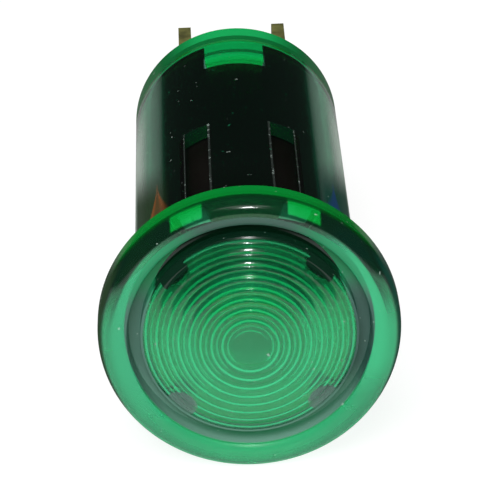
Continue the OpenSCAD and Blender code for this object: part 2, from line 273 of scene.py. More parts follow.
@dataclass(frozen=True)
class Spot:
    """Where a surface point lies on the moulding, in millimetres.

    Across runs to the right, side is across without its sign, depth runs to the rear, up is the
    height over the light's axis and radius the distance from it.
    """

    across: Wire
    side: Wire
    depth: Wire
    up: Wire
    radius: Wire
    size: LensSizes = LensSizes()
    seat: Span = (-0.1, -0.02)
    crown_foot: Span = (-1.4, -1.3)
    lens_edge: Span = (5.6, 5.8)
    patch_side: Band = (2.35, 3.95, 0.12)
    patch_r: Band = (7.65, 8.1, 0.12)
    patch_up: Span = (1.0, 3.0)

    @classmethod
    def of(cls, shader: Shader) -> "Spot":
        """Reads the point in a material's tree."""
        parts = shader.raw("ShaderNodeSeparateXYZ", {}, {0: shader.place()})
        across, depth, up = (Wire(shader, parts.outputs[i]) * (1.0 / MM) for i in range(3))
        return cls(across, abs(across), depth, up, (across * across + up * up) ** 0.5)

    def in_front(self) -> Wire:
        """1 in front of the flange's seat."""
        return self.depth.fall(*self.seat)

    def on_crown(self) -> Wire:
        """1 on the crown's outside."""
        return self.depth.fall(*self.crown_foot)

    def on_lens(self) -> Wire:
        """1 on the ringed part of the crown."""
        return self.radius.fall(*self.lens_edge) * self.on_crown()

    def in_crown(self) -> Wire:
        """1 on the crown's inner face."""
        lift = self.depth - (self.size.crown_r - self.size.crown_h)
        reach = (self.radius * self.radius + lift * lift) ** 0.5
        inner = self.size.crown_r - self.size.crown_wall
        return reach.fall(inner + 0.1, inner + 0.4) * self.depth.fall(-0.1, 0.1)

    def on_barrel(self) -> Wire:
        """1 on the barrel's outside."""
        outside = self.size.barrel_r
        return self.radius.rise(outside - 0.1, outside - 0.05) * self.depth.rise(0.05, 0.1)

    def before_slots(self) -> Wire:
        """1 on the two patches of the rim that lie in front of the upper slots."""
        across = self.side.within(*self.patch_side)
        return across * self.radius.within(*self.patch_r) * self.up.rise(*self.patch_up) * self.in_front()

    def from_posts(self) -> Wire:
        """The distance from the axis of the nearest of the housing's four posts."""
        middle = self.size.bore_r * math.sqrt(0.5)
        return ((self.side - middle) ** 2.0 + (abs(self.up) - middle) ** 2.0) ** 0.5

    def over_posts(self) -> Wire:
        """1 on the crown over the housing's posts, out to the groove."""
        post_r, groove_r = self.size.recess_r, self.size.groove_r
        near = self.from_posts().fall(post_r, post_r + 0.06)
        return near * self.on_crown() * self.radius.fall(groove_r, groove_r + 0.05)


@dataclass(frozen=True)
class Coat:
    """A layer over a part of the clear plastic. Lengths are in millimetres."""

    rough: float = 0.5
    shine: float = 0.2
    size: LensSizes = LensSizes()

    def mask(self, shader: Shader, spot: Spot) -> Wire:
        """How much of the coat shows at a spot."""
        raise NotImplementedError

    def colour(self, shader: Shader, spot: Spot) -> Wire | Rgb:
        """The coat's colour at a spot."""
        raise NotImplementedError

    def over(self, shader: Shader, spot: Spot, body: Wire, normal: Wire) -> Wire:
        """Lays the coat over a shader. A coat without shine doesn't show the bumps.

        Args:
            shader: The material's tree.
            spot: The surface point.
            body: What the coat covers.
            normal: The bumped normal.

        Returns:
            The covered shader.
        """
        inputs = {
            "Base Color": opaque(self.colour(shader, spot)),
            "Roughness": self.rough,
            "Specular IOR Level": self.shine,
        }
        if self.shine:
            inputs["Normal"] = normal
        return shader.layered(self.mask(shader, spot), body, shader.principled(inputs))


@dataclass(frozen=True)
class PlainCoat(Coat):
    """A coat of one colour."""

    tone: Rgb = (0.5, 0.5, 0.5)

    def colour(self, shader: Shader, spot: Spot) -> Rgb:
        """The coat's one colour."""
        return self.tone


@dataclass(frozen=True)
class PaintedLensLight(PlainCoat):
    """Painted light on the lens, a lighter green under the rings' painted light and strongest in the lower
    half.
    """

    rough: float = 0.4
    tone: Rgb = (0.03, 0.32, 0.15)
    amount: float = 0.45
    edge: Span = (5.7, 5.76)
    top: Span = (-1.0, 4.0)
    flank: Span = (2.0, 5.0)
    flank_loss: float = 0.35

    def mask(self, shader: Shader, spot: Spot) -> Wire:
        """How much of the painted lens light shows."""
        lens = spot.radius.fall(*self.edge) * spot.on_crown()
        fade = spot.up.fall(*self.top) * (1.0 - self.flank_loss * spot.side.rise(*self.flank))
        return self.amount * fade * lens * (1.0 - spot.over_posts())


@dataclass(frozen=True)
class PaintedRingAndRimLight(Coat):
    """Painted light on the rings, which show as bright lines with fine ones between, and on the rim, brighter
    to the right.

    The lines sit a little above the light's axis, and the fine ones end near the bottom. The phase
    puts a ring's middle half-way between two whole numbers, and keeps every one of them above 0.
    """

    low_tone: Rgb = (0.05, 0.53, 0.235)
    high_tone: Rgb = (0.001, 0.36, 0.09)
    high: Span = (-1.5, 3.5)
    rings_r: float = 5.72
    rings_rise: float = 0.13
    ring_amount: float = 0.75
    ring_w: float = 0.15
    fine_amount: float = 0.5
    fine_w: float = 0.12
    fine_end: Span = (-0.85, -0.6)
    phase: float = 20.5
    core: float = 0.3
    rim_amount: float = 0.45
    land: Band = (6.7, 7.4, 0.15)
    land_top: Span = (4.5, 7.0)
    edge: Span = (7.4, 7.55)
    edge_top: Span = (0.0, 4.0)
    right: Span = (2.0, 7.0)
    right_foot: Span = (-4.0, -1.5)
    right_gain: float = 0.45
    brim: Span = (7.8, 8.1)
    brim_top: Span = (-3.0, 1.0)
    brim_amount: float = 0.4

    def lines(self, radius: Wire, first: float, width: float) -> Wire:
        """1 on rings a pitch apart, from a first radius, with half their width in pitches."""
        phase = (radius - first) / self.size.ring_pitch + self.phase
        return abs(phase.fraction() - 0.5).fall(width * self.core, width)

    def rings(self, spot: Spot) -> Wire:
        """How much painted light lies on the rings."""
        disc_r, pitch, post_r = self.size.disc_r, self.size.ring_pitch, self.size.recess_r
        zone = spot.radius.within(disc_r - 0.15, self.rings_r, 0.06) * spot.on_crown()
        zone = zone * spot.from_posts().rise(post_r - 0.05, post_r + 0.05)
        raised = spot.up - self.rings_rise
        radius = (spot.side * spot.side + raised * raised) ** 0.5
        bright = self.ring_amount * self.lines(radius, disc_r + pitch / 2, self.ring_w)
        fine = self.fine_amount * self.lines(radius, disc_r, self.fine_w)
        return zone * (bright + fine * (raised / radius).rise(*self.fine_end))

    def rim(self, spot: Spot) -> Wire:
        """How much painted light lies on the rim, most of it to the right."""
        land = spot.radius.within(*self.land) * spot.up.fall(*self.land_top)
        edge = spot.radius.rise(*self.edge) * spot.up.fall(*self.edge_top)
        brim = spot.radius.rise(*self.brim) * spot.up.fall(*self.brim_top)
        gain = 1.0 + self.right_gain * spot.across.rise(*self.right) * spot.up.rise(*self.right_foot)
        return (self.rim_amount * gain * (land + edge) + self.brim_amount * brim) * spot.in_front()

    def mask(self, shader: Shader, spot: Spot) -> Wire:
        """How much of the painted light shows."""
        return (self.rings(spot) + self.rim(spot)).clamped()

    def colour(self, shader: Shader, spot: Spot) -> Wire:
        """The painted light's colour, deeper and darker in the lens's upper half."""
        high = spot.on_lens() * spot.up.rise(*self.high)
        return shader.mix(high, self.low_tone, self.high_tone)


@dataclass(frozen=True)
class Glow(Coat):
    """Painted light at the rear end, the latch ridges, the flange's edge and the rim in front of the slots,
    where light would come through the plastic.

    A painted dark gap parts the latch ridges' strips, and a painted dark seam lies in front of the rear end.
    """

    rear_tone: Rgb = (0.01, 0.48, 0.125)
    dim_tone: Rgb = (0.002, 0.15, 0.035)
    latch_tone: Rgb = (0.02, 0.72, 0.35)
    front_tone: Rgb = (0.002, 0.42, 0.05)
    front_end: Span = (1.0, 2.0)
    rear: Band = (25.95, 29.0, 0.12)
    rear_amount: float = 0.8
    seam: Band = (25.9, 26.5, 0.1)
    seam_r: Span = (5.7, 5.8)
    dim: Span = (1.5, 4.6)
    latch: Band = (23.1, 26.15, 0.05)
    latch_side: Span = (1.6, 1.65)
    latch_r: Span = (5.55, 5.6)
    latch_amount: float = 0.92
    latch_end: Span = (26.1, 26.15)
    latch_rim: Span = (5.55, 5.65)
    gap: Band = (24.45, 24.85, 0.1)
    gap_loss: float = 0.6
    edge: Span = (8.2, 8.24)
    edge_up: Span = (-2.0, 4.0)
    edge_amount: float = 0.45
    right: Span = (2.5, 6.0)
    right_loss: float = 0.4
    patch_amount: float = 0.5

    def mask(self, shader: Shader, spot: Spot) -> Wire:
        """How much of the painted glow shows."""
        rear = spot.depth.within(*self.rear)
        latch = spot.depth.within(*self.latch) * spot.side.fall(*self.latch_side)
        gap = 1.0 - self.gap_loss * spot.depth.within(*self.gap)
        latch = latch * spot.radius.fall(*self.latch_r) * gap
        edge = spot.radius.rise(*self.edge) * spot.in_front() * spot.up.rise(*self.edge_up)
        edge = edge * (1.0 - self.right_loss * spot.across.rise(*self.right))
        parts = self.rear_amount * rear + self.latch_amount * latch + self.edge_amount * edge
        return (parts + self.patch_amount * spot.before_slots()).clamped()

    def colour(self, shader: Shader, spot: Spot) -> Wire:
        """The painted glow's colour, which fades to the sides and in front of the rear end."""
        seam = spot.depth.within(*self.seam) * spot.radius.rise(*self.seam_r)
        dimmed = (spot.side.rise(*self.dim) + seam).clamped()
        rear = shader.mix(dimmed, self.rear_tone, self.dim_tone)
        beyond = (spot.depth.rise(*self.latch_end) + spot.radius.rise(*self.latch_rim)).clamped()
        rear = shader.mix(beyond, self.latch_tone, rear)
        return shader.mix(spot.depth.rise(*self.front_end), self.front_tone, rear)


@dataclass(frozen=True)
class PaintedGrooveReflection(Coat):
    """A painted floor reflection: the grey ring in the groove, which sits a little high, and grey over the
    lower posts.
    """

    rough: float = 0.35
    shine: float = 0.5
    tone: Rgb = (0.06, 0.16, 0.12)
    low_tone: Rgb = (0.14, 0.3, 0.23)
    low: Span = (-6.5, -1.0)
    high_tone: Rgb = (0.01, 0.27, 0.11)
    high_side: Span = (2.0, 4.0)
    high_up: Span = (1.5, 3.5)
    right_tone: Rgb = (0.035, 0.1, 0.08)
    right: Span = (3.0, 5.5)
    right_top: Span = (1.0, 3.0)
    right_foot: Span = (-4.0, -2.0)
    bottom: Span = (-0.42, -0.38)
    inner: Span = (5.74, 5.8)
    inner_rise: Span = (1.5, 6.5)
    outer: float = 6.62
    outer_rise: Span = (-3.0, 6.5)
    offset: float = 0.5
    fade: float = 0.03
    soft: float = 0.12
    soft_up: Span = (2.0, 5.0)
    shown: Span = (5.8, 5.84)
    post_amount: float = 0.6

    def inside(self, spot: Spot) -> Wire:
        """1 outside the ring's inner edge."""
        radius = spot.radius - self.offset * spot.up.rise(*self.inner_rise)
        return radius.rise(*self.inner)

    def left_dark(self, spot: Spot) -> Wire:
        """1 on the part of the groove inside the ring."""
        return spot.radius.rise(*self.shown) * (1.0 - self.inside(spot)) * spot.depth.fall(*self.bottom)

    def mask(self, shader: Shader, spot: Spot) -> Wire:
        """How much of the painted grey reflection shows."""
        fade = self.fade + self.soft * spot.up.rise(*self.soft_up)
        beyond = (spot.radius - self.offset * spot.up.rise(*self.outer_rise) - self.outer) / fade
        ring = self.inside(spot) * beyond.fall(0.0, 1.0) * spot.depth.fall(*self.bottom)
        return (ring + self.post_amount * spot.over_posts() * spot.up.fall(*MIDDLE)).clamped()

    def colour(self, shader: Shader, spot: Spot) -> Wire:
        """The painted reflection's grey, lighter below, greener above and darker to the right."""
        grey = shader.mix(spot.up.rise(*self.low), self.low_tone, self.tone)
        high = spot.side.rise(*self.high_side) * spot.up.rise(*self.high_up)
        grey = shader.mix(high, grey, self.high_tone)
        right = spot.across.rise(*self.right) * spot.up.fall(*self.right_top) * spot.up.rise(*self.right_foot)
        return shader.mix(right, grey, self.right_tone)


@dataclass(frozen=True)
class Shade(PlainCoat):
    """Painted shade on the upper rim and crown, the slots' ends, the upper posts and the groove inside its
    ring.
    """

    rough: float = 0.12
    shine: float = 0.5
    tone: Rgb = (0.003, 0.018, 0.009)
    groove: PaintedGrooveReflection = PaintedGrooveReflection()
    rim: Band = (7.5, 8.1, 0.15)
    rim_up: Span = (1.0, 4.0)
    rim_amount: float = 0.8
    land: Band = (6.7, 7.4, 0.1)
    land_up: Span = (5.0, 6.8)
    land_amount: float = 0.4
    edge: Span = (7.85, 8.1)
    edge_side: Span = (6.0, 7.5)
    edge_amount: float = 0.75
    crown: Span = (2.5, 5.5)
    crown_edge: Span = (5.8, 5.84)
    crown_up: Span = (0.5, 4.0)
    crown_amount: float = 0.5
    post: Span = (5.3, 5.4)
    slot_amount: float = 0.85

    def slot_ends(self, spot: Spot) -> Wire:
        """1 on the slots' rear walls."""
        near = self.size.finger_w / 2
        side = spot.side.within(near - 0.05, near + self.size.slot_w + 0.06, 0.05)
        return side * spot.depth.within(self.size.slot_rear - 0.05, self.size.slot_rear + 0.05, 0.03)

    def mask(self, shader: Shader, spot: Spot) -> Wire:
        """How much of the painted shade shows."""
        rim = self.rim_amount * spot.radius.within(*self.rim) * spot.up.rise(*self.rim_up)
        land = self.land_amount * spot.radius.within(*self.land) * spot.up.rise(*self.land_up)
        edge = self.edge_amount * spot.radius.rise(*self.edge) * spot.side.rise(*self.edge_side)
        posts = spot.over_posts() * spot.radius.rise(*self.post) * spot.up.rise(*MIDDLE)
        crown = self.crown_amount * spot.radius.fall(*self.crown_edge) * spot.radius.rise(*self.crown)
        crown = crown * spot.up.rise(*self.crown_up) * spot.on_crown()
        front = spot.in_front() * (rim + land + edge) * (1.0 - spot.before_slots())
        slots = self.slot_amount * self.slot_ends(spot)
        return (front + slots + self.groove.left_dark(spot) + posts + crown).clamped()


@dataclass(frozen=True)
class PaintedFlankReflection(PlainCoat):
    """A painted reflection of pale surroundings along the barrel's upper flanks, a little stronger to the
    right.
    """

    rough: float = 1.0
    shine: float = 0.0
    tone: Rgb = (0.78, 0.95, 0.82)
    side: Span = (5.3, 6.15)
    foot: Span = (-0.5, 1.0)
    rear: Span = (20.0, 25.9)
    amount: float = 0.5
    right_gain: float = 0.15

    def mask(self, shader: Shader, spot: Spot) -> Wire:
        """How much of the painted reflection shows."""
        upper = spot.side.rise(*self.side) * spot.up.rise(*self.foot) * spot.on_barrel()
        amount = self.amount + self.right_gain * spot.across.rise(*MIDDLE)
        return amount * upper * spot.depth.fall(*self.rear)


@dataclass(frozen=True)
class Streak:
    """A streak on the barrel that narrows towards its tip, whose place is a depth."""

    middle: float
    tip: float
    length: float = 10.0
    width: float = 1.4
    tip_width: float = 0.02
    past_tip: float = 3.0

    def reach(self, spot: Spot) -> Wire:
        """0 in the streak's middle, 1 on its edge and more outside it."""
        wide = self.width * spot.depth.fall(self.tip - self.length, self.tip) + self.tip_width
        beyond = spot.depth.rise(self.tip - 0.1, self.tip)
        return abs(spot.across - self.middle) / wide + self.past_tip * beyond


@dataclass(frozen=True)
class Flanks(Coat):
    """Painted shade on the upper flanks beside the flange and on the flange's sides, with a rust streak on
    the left and a blue one on the right.
    """

    rough: float = 1.0
    shine: float = 0.0
    left_tone: Rgb = (0.02, 0.045, 0.018)
    right_tone: Rgb = (0.004, 0.055, 0.035)
    rust_tone: Rgb = (0.22, 0.075, 0.02)
    blue_tone: Rgb = (0.006, 0.045, 0.14)
    rust: Streak = Streak(-4.8, 9.9)
    blue: Streak = Streak(5.2, 10.2)
    streak_up: Span = (1.8, 2.8)
    rust_core: Span = (0.2, 0.8)
    rust_core_loss: float = 0.65
    rust_edge: Span = (0.8, 1.2)
    blue_edge: Span = (0.4, 1.1)
    blue_amount: float = 0.9
    side: Span = (4.0, 4.8)
    foot: Span = (0.6, 1.8)
    slant: Span = (7.5, 10.5)
    slope: float = 0.5
    amount: float = 0.92
    edge: Span = (7.95, 8.15)
    edge_side: Span = (6.5, 7.6)
    edge_amount: float = 0.8

    def mask(self, shader: Shader, spot: Spot) -> Wire:
        """How much painted shade lies on the upper flanks, fading along the flange's slant, and on the
        flange's sides.
        """
        edge = self.edge_amount * spot.radius.rise(*self.edge) * spot.side.rise(*self.edge_side)
        slant = (self.slope * spot.depth + spot.up).fall(*self.slant)
        near = slant * spot.up.rise(*self.foot) * spot.on_barrel()
        return self.amount * spot.side.rise(*self.side) * near + edge * spot.in_front()

    def colour(self, shader: Shader, spot: Spot) -> Wire:
        """The painted shade's colour with its two streaks, the rust one darker in the middle."""
        upper = spot.up.rise(*self.streak_up)
        reach = self.rust.reach(spot)
        core = 1.0 - self.rust_core_loss + self.rust_core_loss * reach.rise(*self.rust_core)
        rust = upper * core * reach.fall(*self.rust_edge)
        blue = self.blue_amount * upper * self.blue.reach(spot).fall(*self.blue_edge)
        dark = shader.mix(spot.across.rise(*MIDDLE), self.left_tone, self.right_tone)
        return shader.mix(blue, shader.mix(rust, dark, self.rust_tone), self.blue_tone)


@dataclass(frozen=True)
class DustAndGlints(PlainCoat):
    """Dust specks, and painted glints along the slots' edges."""

    rough: float = 1.0
    shine: float = 0.0
    tone: Rgb = (0.45, 0.55, 0.5)
    cells: float = 2800.0
    speck: Span = (0.77, 0.8)
    speck_amount: float = 0.5
    front_gain: float = 0.02
    glint_cells: float = 2600.0
    glint: Span = (0.58, 0.68)
    glint_base: float = 0.05
    glint_amount: float = 0.35

    def slot_edges(self, spot: Spot) -> Wire:
        """1 along the slots' long edges on the barrel's outside."""
        near = self.size.finger_w / 2
        far = near + self.size.slot_w
        edges = spot.side.within(near - 0.1, near, 0.03) + spot.side.within(far, far + 0.06, 0.03)
        length = spot.depth.within(self.size.slot_front + 0.05, self.size.slot_rear + 0.1, 0.05)
        outside = self.size.barrel_r
        return edges * length * spot.radius.rise(outside - 0.15, outside - 0.1)

    def mask(self, shader: Shader, spot: Spot) -> Wire:
        """How much of the dust and the painted glints shows."""
        grains = shader.noise(self.cells, 1.0) + self.front_gain * spot.in_front()
        # painted glints along the slots' edges, patchy through noise
        worn = self.glint_base + self.glint_amount * shader.noise(self.glint_cells, 2.0).rise(*self.glint)
        return (self.speck_amount * grains.rise(*self.speck) + self.slot_edges(spot) * worn).clamped()


# ---------------------------------------------------------------- finishes


@dataclass(frozen=True)
class Finish:
    """Something a piece can be dressed in."""

    name: str

    def build(self, shader: Shader) -> None:
        """Fills the material's tree."""
        raise NotImplementedError

    def material(self) -> bpy.types.Material:
        """The material, made once and then reused."""
        found = bpy.data.materials.get(self.name)
        if found:
            return found
        made = bpy.data.materials.new(self.name)
        self.build(Shader(made))
        return made


@dataclass(frozen=True)
class ClearPlastic(Finish):
    """Clear coloured plastic that darkens with the thickness light goes through, under its coats of painted
    light, shade and reflections, dust and streaks.

    The absorption is what a metre of it takes from red, green and blue, each under the density.
    """

    absorption: Rgb = (1400.0, 80.0, 440.0)
    density: float = 1500.0
    ior: float = 1.585
    polish: float = 0.03
    flow_cells: float = 420.0
    flow_share: float = 0.85
    grain_cells: float = 5200.0
    grain: Span = (0.45, 0.75)
    grain_rough: float = 0.03
    bump: float = 0.05
    bump_depth: float = 0.00005
    crown_rough: float = 0.3
    lens_rough: float = 0.05
    edge: Span = (7.3, 7.5)
    edge_rough: float = 0.07
    lip: Band = (6.4, 7.3, 0.1)
    lip_top: Span = (-5.0, -2.0)
    lip_rough: float = 0.25
    shadow: Rgb = (0.6, 0.6, 0.6)
    coats: tuple[Coat, ...] = (PaintedLensLight(), PaintedRingAndRimLight(), Glow(), PaintedGrooveReflection(), Shade(), PaintedFlankReflection(), Flanks(), DustAndGlints())

    def roughness(self, spot: Spot, grain: Wire) -> Wire:
        """How rough the plastic is: polished, with a worn edge and a matt inner crown."""
        lip = spot.radius.within(*self.lip) * spot.in_front() * spot.up.fall(*self.lip_top)
        edge = self.edge_rough * spot.radius.rise(*self.edge) * spot.in_front()
        rough = self.polish + self.grain_rough * grain.rise(*self.grain) + edge
        rough = rough + self.crown_rough * spot.in_crown()
        return rough + self.lip_rough * lip + self.lens_rough * spot.on_lens()

    def build(self, shader: Shader) -> None:
        """Fills the material's tree."""
        spot = Spot.of(shader)
        flow = shader.noise(self.flow_cells, 2.0)
        grain = shader.noise(self.grain_cells, 3.0)
        height = self.flow_share * flow + (1.0 - self.flow_share) * grain
        normal = shader.bump(height, self.bump, self.bump_depth)
        inputs = {
            "Base Color": (1.0, 1.0, 1.0, 1.0),
            "Roughness": self.roughness(spot, grain),
            "IOR": self.ior,
            "Transmission Weight": 1.0,
            "Normal": normal,
        }
        body = shader.principled(inputs)
        for coat in self.coats:
            body = coat.over(shader, spot, body, normal)
        shader.surface(self.lit_inside(shader, body), self.depth(shader))

    def depth(self, shader: Shader) -> Wire:
        """The volume that darkens with thickness."""
        tint = tuple(1.0 - part / self.density for part in self.absorption)
        inputs = {"Color": (*tint, 1.0), "Density": self.density}
        return shader.add("ShaderNodeVolumeAbsorption", {}, inputs)

    def lit_inside(self, shader: Shader, body: Wire) -> Wire:
        """Lets the lamps' light through to what lies inside."""
        path = shader.raw("ShaderNodeLightPath", {}, {})
        clear = shader.add("ShaderNodeBsdfTransparent", {}, {"Color": (*self.shadow, 1.0)})
        return shader.layered(Wire(shader, path.outputs["Is Shadow Ray"]), body, clear)


@dataclass(frozen=True)
class MouldedPlastic(Finish):
    """Opaque moulded plastic with a fine grain and faint flow marks."""

    colour: Rgb
    shade: Rgb
    rough: float
    shine: float = 0.5
    flow_cells: float = 180.0
    flow: Span = (0.3, 0.75)
    grain_cells: float = 6500.0
    grain_rough: float = 0.12
    bump: float = 0.4
    bump_depth: float = 0.00001

    def build(self, shader: Shader) -> None:
        """Fills the material's tree."""
        flow = shader.noise(self.flow_cells)
        grain = shader.noise(self.grain_cells)
        inputs = {
            "Base Color": shader.mix(flow.rise(*self.flow), self.colour, self.shade),
            "Roughness": self.rough + self.grain_rough * grain,
            "Specular IOR Level": self.shine,
            "Normal": shader.bump(grain, self.bump, self.bump_depth),
        }
        shader.surface(shader.principled(inputs))


@dataclass(frozen=True)
class StampedBrass(Finish):
    """Rolled strip brass with drawing lines, and a dull patina."""

    colour: Rgb = (0.3, 0.3, 0.1)
    patina: Rgb = (0.13, 0.13, 0.05)
    metallic: float = 0.4
    rough: float = 0.38
    blotch_cells: float = 700.0
    blotch: Span = (0.35, 0.7)
    blotch_rough: float = 0.2
    line_cells: float = 9000.0
    stretch: Triple = (1.0, 0.06, 1.0)
    bump: float = 0.35
    bump_depth: float = 0.00001

    def build(self, shader: Shader) -> None:
        """Fills the material's tree."""
        settings = {"operation": "MULTIPLY"}
        along = shader.add("ShaderNodeVectorMath", settings, {0: shader.place(), 1: self.stretch})
        lines = shader.noise(self.line_cells, 4.0, 0.6, along)
        blotch = shader.noise(self.blotch_cells, 4.0)
        inputs = {
            "Base Color": shader.mix(blotch.rise(*self.blotch), self.colour, self.patina),
            "Metallic": self.metallic,
            "Roughness": self.rough + self.blotch_rough * blotch,
            "Normal": shader.bump(lines, self.bump, self.bump_depth),
        }
        shader.surface(shader.principled(inputs))


@dataclass(frozen=True)
class Metal(Finish):
    """Plain drawn or tinned metal."""

    colour: Rgb
    rough: float
    worn: float = 0.75
    grain_cells: float = 4000.0
    grain_rough: float = 0.15
    bump: float = 0.3
    bump_depth: float = 0.00001

    def build(self, shader: Shader) -> None:
        """Fills the material's tree."""
        grain = shader.noise(self.grain_cells)
        inputs = {
            "Base Color": shader.mix(grain, self.colour, tuple(self.worn * c for c in self.colour)),
            "Metallic": 1.0,
            "Roughness": self.rough + self.grain_rough * grain,
            "Normal": shader.bump(grain, self.bump, self.bump_depth),
        }
        shader.surface(shader.principled(inputs))


@dataclass(frozen=True)
class LampGlass(Finish):
    """Thin lamp glass with a white coating."""

    coating: Rgb = (0.8, 0.82, 0.79)
    clear: float = 0.15
    ior: float = 1.5
    rough: float = 0.1
    cloud_cells: float = 900.0

    def build(self, shader: Shader) -> None:
        """Fills the material's tree."""
        inputs = {
            "Base Color": (*self.coating, 1.0),
            "Roughness": self.rough + self.rough * shader.noise(self.cloud_cells),
            "IOR": self.ior,
            "Transmission Weight": self.clear,
        }
        shader.surface(shader.principled(inputs))


GREEN = ClearPlastic("clear_green_plastic")
BLACK = MouldedPlastic("black_plastic", (0.004, 0.0035, 0.003), (0.007, 0.006, 0.005), 0.3, shine=0.1)
WHITE = MouldedPlastic("white_plastic", (0.84, 0.86, 0.82), (0.78, 0.8, 0.75), 0.4)
IVORY = MouldedPlastic("ivory_plastic", (0.62, 0.6, 0.5), (0.52, 0.5, 0.4), 0.45)
TAN = MouldedPlastic("tan_coating", (0.5, 0.36, 0.2), (0.42, 0.29, 0.15), 0.5)
DARK = MouldedPlastic("dark_sleeving", (0.03, 0.03, 0.033), (0.05, 0.05, 0.055), 0.5)
BRASS = StampedBrass("stamped_brass")
NICKEL = Metal("nickel", (0.55, 0.54, 0.5), 0.4)
COPPER = Metal("copper_wire", (0.7, 0.4, 0.25), 0.3)
TIN = Metal("tinned_metal", (0.68, 0.68, 0.66), 0.32)
GLASS = LampGlass("lamp_glass")


# ---------------------------------------------------------------- meshes


def dress(node: str, finish: Finish) -> None:
    """Gives a CAD node its finish.

    Args:
        node: The node's name.
        finish: What it is dressed in.
    """
    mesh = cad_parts[node].data
    mesh.materials.clear()
    mesh.materials.append(finish.material())
    LOG.info("%s wears %s", node, finish.name)


def link(name: str, build: bmesh.types.BMesh) -> bpy.types.Object:
    """Turns a bmesh into a linked object and frees it."""
    mesh = bpy.data.meshes.new(name)
    build.to_mesh(mesh)
    build.free()
    made = bpy.data.objects.new(name, mesh)
    bpy.context.scene.collection.objects.link(made)
    return made


def lathe(
    name: str, section: Sequence[Point], turns: Sequence[float], closed: bool
) -> bpy.types.Object:
    """Turns a closed section round the Y axis into a solid.

    Args:
        name: The object's name.
        section: Points (radius, depth) in millimetres, in order round the section.
        turns: The angles of its copies, in radians, from +X towards +Z.
        closed: True for a full turn, False for a sector with two flat ends.

    Returns:
        The solid.
    """
    build = bmesh.new()
    axis: dict[int, bmesh.types.BMVert] = {}
    rings: list[list[bmesh.types.BMVert]] = []
    for turn in turns:
        ring = []
        for i, (r, y) in enumerate(section):
            if r == 0.0:
                if i not in axis:
                    axis[i] = build.verts.new((0.0, y * MM, 0.0))
                ring.append(axis[i])
            else:
                ring.append(build.verts.new((r * math.cos(turn) * MM, y * MM, r * math.sin(turn) * MM)))
        rings.append(ring)
    count = len(section)
    spans = len(rings) if closed else len(rings) - 1
    for k in range(spans):
        a, b = rings[k], rings[(k + 1) % len(rings)]
        for i in range(count):
            j = (i + 1) % count
            corners = []
            for vert in (a[i], a[j], b[j], b[i]):
                if vert not in corners:
                    corners.append(vert)
            if len(corners) > 2:
                build.faces.new(corners)
    if not closed:
        build.faces.new(rings[0])
        build.faces.new(rings[-1])
    bmesh.ops.recalc_face_normals(build, faces=build.faces)
    return link(name, build)


def block(name: str, low: Sequence[float], high: Sequence[float]) -> bpy.types.Object:
    """A block between two corners given in millimetres."""
    build = bmesh.new()
    bmesh.ops.create_cube(build, size=1.0)
    for vert in build.verts:
        vert.co = Vector([(low[i] + high[i]) / 2 + vert.co[i] * (high[i] - low[i]) for i in range(3)]) * MM
    return link(name, build)


class Cut(Enum):
    """What one solid does to another."""

    ADD = "UNION"
    REMOVE = "DIFFERENCE"


def combine(body: bpy.types.Object, tools: Iterable[bpy.types.Object], cut: Cut) -> None:
    """Joins tools to a body, or cuts the body with them, and deletes the tools.

    Args:
        body: The solid that is changed.
        tools: The solids that change it.
        cut: How they do.
    """
    for tool in tools:
        modifier = body.modifiers.new("cut", "BOOLEAN")
        modifier.operation = cut.value
        modifier.solver = "EXACT"
        modifier.object = tool
        settle(body)
        bpy.data.objects.remove(tool)


def settle(body: bpy.types.Object) -> None:
    """Applies every modifier of an object to its mesh."""
    graph = bpy.context.evaluated_depsgraph_get()
    graph.update()
    mesh = bpy.data.meshes.new_from_object(body.evaluated_get(graph))
    body.modifiers.clear()
    old = body.data
    body.data = mesh
    bpy.data.meshes.remove(old)


def smooth(body: bpy.types.Object, angle: float) -> None:
    """Shades smooth, with a crease wherever faces meet at more than an angle in degrees."""
    body.data.polygons.foreach_set("use_smooth", [True] * len(body.data.polygons))
    body.data.set_sharp_from_angle(angle=math.radians(angle))


def arc(middle: Point, radius: float, start: float, stop: float, steps: int) -> list[Point]:
    """Points of an arc.

    Args:
        middle: Its centre.
        radius: Its radius.
        start: First angle in degrees.
        stop: Last angle in degrees.
        steps: How many steps lie between them.

    Returns:
        The points, both ends included.
    """
    angles = [math.radians(start + (stop - start) * i / steps) for i in range(steps + 1)]
    return [(middle[0] + radius * math.cos(a), middle[1] + radius * math.sin(a)) for a in angles]


# ---------------------------------------------------------------- the lens body


